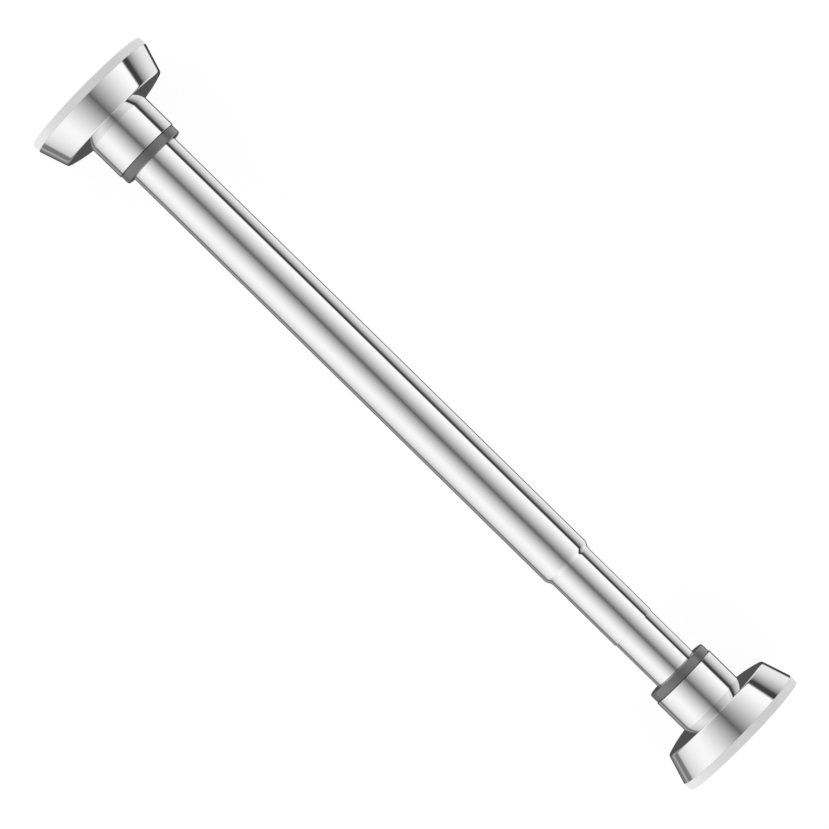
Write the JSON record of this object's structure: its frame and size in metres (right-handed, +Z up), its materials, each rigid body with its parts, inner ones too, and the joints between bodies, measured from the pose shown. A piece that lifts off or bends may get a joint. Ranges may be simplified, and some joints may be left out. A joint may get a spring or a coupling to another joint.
{
  "type": "telescopic tension rod",
  "caption": "Telescopic chrome rail that wedges between two walls: sliding tubes with a twist lock, a sprung end stub, and flared swivelling bases with rubber wall pads.",
  "frame": {"origin": "centre of the first wall pad's wall face, on the rod's axis", "axes": "+X along the rod from the first wall to the second, +Z up; the rod is round, so any direction across it can be up"},
  "size_m": [0.4, 0.0658, 0.0658],
  "materials": {
    "chrome": "polished chrome plate",
    "pad_rubber": "soft matt light grey rubber",
    "ring_plastic": "satin dark grey plastic",
    "core_plastic": "moulded dark grey plastic",
    "plug_nylon": "moulded black nylon",
    "sleeve_acetal": "moulded white acetal",
    "zinc_steel": "bright zinc plated steel",
    "spring_steel": "oiled drawn spring wire"
  },
  "bodies": {
    "base_a": {"pad_a": "pad_rubber", "core_a": "core_plastic", "cover_a": "chrome", "collar_a": "chrome", "trim_ring_a": "ring_plastic"},
    "outer_tube": {"outer_tube": "chrome", "tube_plug": "plug_nylon", "pivot_screw_a": "zinc_steel", "head_washer_a": "zinc_steel", "thrust_washer_a": "sleeve_acetal", "mouth_sleeve": "sleeve_acetal"},
    "lock_shoe": {"lock_shoe": "sleeve_acetal"},
    "inner_tube": {"inner_tube": "chrome", "tail_sleeve": "sleeve_acetal", "cam_plug": "plug_nylon", "cam_washer": "zinc_steel", "cam_screw": "zinc_steel", "spring_seat": "plug_nylon", "tension_spring": "spring_steel"},
    "end_stub": {"end_stub": "chrome", "stub_plug": "plug_nylon", "guide_rod": "zinc_steel", "guide_washer": "zinc_steel", "guide_nut": "zinc_steel", "pivot_screw_b": "zinc_steel", "head_washer_b": "zinc_steel", "thrust_washer_b": "sleeve_acetal"},
    "base_b": {"pad_b": "pad_rubber", "core_b": "core_plastic", "cover_b": "chrome", "collar_b": "chrome", "trim_ring_b": "ring_plastic"}
  },
  "joints": [
    {"name": "base_a_swivel", "type": "hinge", "parent": "base_a", "child": "outer_tube", "pos_m": [0, 0, 0], "axis": [1, 0, 0], "continuous": true},
    {"name": "length_slide", "type": "slide", "parent": "outer_tube", "child": "lock_shoe", "axis": [1, 0, 0], "range_m": [-0.02, 0.18]},
    {"name": "twist_lock", "type": "hinge", "parent": "lock_shoe", "child": "inner_tube", "pos_m": [0, 0, 0], "axis": [1, 0, 0], "range_deg": [-90, 0]},
    {"name": "stub_spring", "type": "slide", "parent": "inner_tube", "child": "end_stub", "axis": [1, 0, 0], "range_m": [-0.022, 0], "stiffness_N_per_m": 2880, "springref_m": 0.02, "deforming": ["tension_spring"]},
    {"name": "base_b_swivel", "type": "hinge", "parent": "end_stub", "child": "base_b", "pos_m": [0.4, 0, 0], "axis": [1, 0, 0], "continuous": true}
  ]
}
